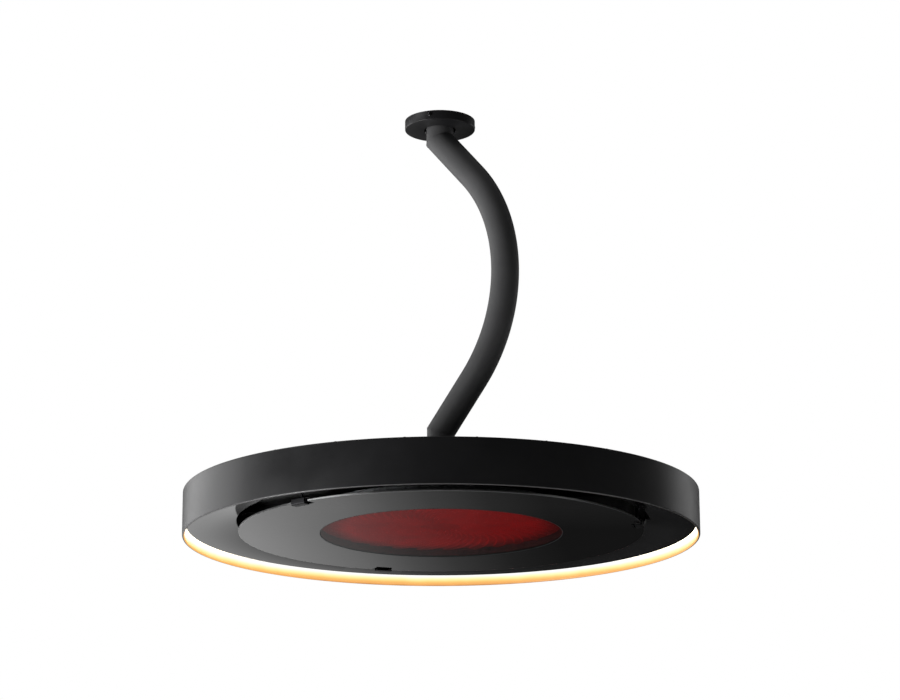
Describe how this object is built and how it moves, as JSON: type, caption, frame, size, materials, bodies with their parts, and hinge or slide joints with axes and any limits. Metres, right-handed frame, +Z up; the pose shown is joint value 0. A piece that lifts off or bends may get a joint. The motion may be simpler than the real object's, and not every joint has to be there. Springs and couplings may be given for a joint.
{
  "type": "hanging patio heater",
  "caption": "Ceiling-hung radiant heater: a wide round head with a glass underside, a red-glowing window and a warm light ring, on a bowed pole below a round ceiling mount.",
  "frame": {"origin": "centre of the ceiling plate's bolt circle, on the face that lies against the ceiling", "axes": "+Z up into the ceiling, along the axis of the mount and of the head; +X to the right in the picture; the pole bows in the plane 38 degrees clockwise from +X"},
  "size_m": [1.046, 1.046, 0.896],
  "materials": {
    "black_powder_coat": "satin",
    "pole_powder_coat": "satin",
    "plated_steel": "satin",
    "black_screw": "satin",
    "black_rivet": "satin",
    "nylon": "satin",
    "galvanised_sheet": "matte",
    "aluminium_sheet": "satin",
    "light_board": "matte",
    "opal_diffuser": "satin",
    "smoked_glass": "polished",
    "black_enamel": "gloss",
    "clip_steel": "satin",
    "black_gasket": "matte",
    "insulation": "matte",
    "glowing_ribbon": "matte",
    "terminal_steel": "satin",
    "white_ceramic": "matte",
    "grey_housing": "matte",
    "white_housing": "satin",
    "black_rubber": "matte",
    "grey_sealant": "satin"
  },
  "bodies": {
    "ceiling_mount": {"ceiling_plate": "black_powder_coat", "spigot": "plated_steel", "canopy": "pole_powder_coat", "canopy_screws": "black_screw"},
    "hanger": {"swivel_bush": "nylon", "neck_screws": "black_screw", "upper_stub": "pole_powder_coat", "pole_bow": "pole_powder_coat", "pole_legs": "pole_powder_coat", "lower_stub": "pole_powder_coat", "hub_flange": "black_powder_coat", "hub_bolts": "plated_steel", "hub_nuts": "plated_steel", "top_plate": "black_powder_coat", "outer_band": "black_powder_coat", "rim_rivets": "black_rivet", "carrier_frame": "galvanised_sheet", "fascia_ring": "black_powder_coat", "fascia_posts": "aluminium_sheet", "diffuser_ring": "opal_diffuser", "led_channel": "aluminium_sheet", "led_strip": "light_board", "glass_panel": "smoked_glass", "glass_print": "black_enamel", "window_bead": "grey_sealant", "glass_clips": "clip_steel", "clip_pads_lower": "black_gasket", "clip_pads_upper": "black_gasket", "hanger_rods": "plated_steel", "hanger_nuts": "plated_steel", "heater_tray": "galvanised_sheet", "tray_posts": "aluminium_sheet", "insulation_board": "insulation", "insulation_ring": "insulation", "heating_ribbon": "glowing_ribbon", "ribbon_terminals": "terminal_steel", "thermal_cutout": "white_ceramic", "terminal_block": "white_ceramic", "control_box": "grey_housing", "light_driver": "white_housing", "cable_gland": "black_rubber"}
  },
  "joints": [
    {"name": "pole_swivel", "type": "hinge", "parent": "ceiling_mount", "child": "hanger", "pos_m": [0, 0, -0.02], "axis": [0, 0, 1], "range_deg": [-170, 170]}
  ]
}
